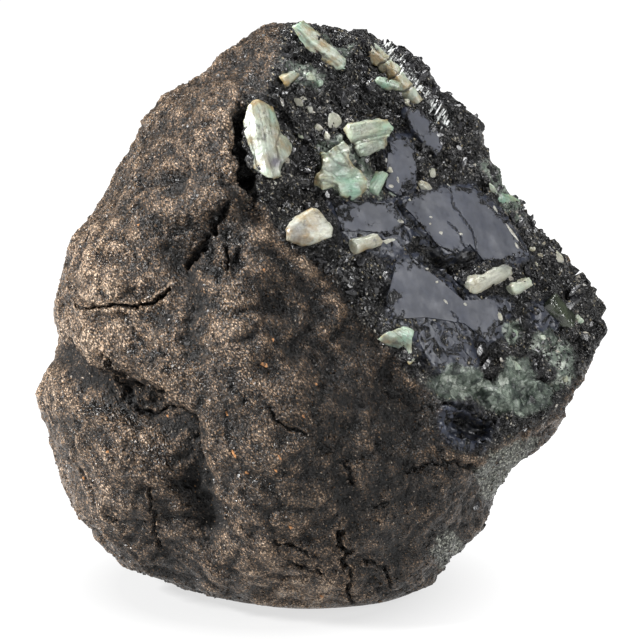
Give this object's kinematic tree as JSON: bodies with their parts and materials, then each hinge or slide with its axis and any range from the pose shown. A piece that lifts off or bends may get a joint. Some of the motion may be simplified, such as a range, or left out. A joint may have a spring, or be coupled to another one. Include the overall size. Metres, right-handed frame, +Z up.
{
  "type": "raw emerald",
  "caption": "Rough dark mica schist stone with a weathered brown rind, broken open on one side to show pale emerald prisms and grey quartz plates in black rock.",
  "frame": {"origin": "under the middle of the stone's bounding box, on the flat resting face", "axes": "+Z up, the stone's front towards -Y and its depth along Y, the broken face turned to +X, -Y and +Z"},
  "size_m": [0.1166, 0.0862, 0.1168],
  "materials": {
    "schist": "rough weathered rind, black glittering mica where broken",
    "emerald": "pale green, slightly translucent, satin",
    "beryl": "cloudy white to cream, satin",
    "quartz": "smoky grey, smooth and glassy"
  },
  "bodies": {
    "root": {"schist_matrix": "schist", "emerald_tall_prism": "emerald", "emerald_twin_prism": "emerald", "emerald_cluster": "emerald", "emerald_side_stub": "emerald", "emerald_crown_blade": "emerald", "emerald_crown_stub": "emerald", "emerald_ridge_chain": "emerald", "emerald_ridge_stub": "emerald", "beryl_white_prism": "beryl", "beryl_white_stub": "beryl", "beryl_cream_crystal": "beryl", "beryl_low_chip": "beryl", "emerald_wedge": "emerald", "emerald_edge_chip": "emerald", "emerald_dark_grain": "emerald", "quartz_plate_upper": "quartz", "quartz_plate_lower": "quartz", "quartz_plate_left": "quartz", "quartz_blade": "quartz", "quartz_grain": "quartz"}
  },
  "joints": []
}
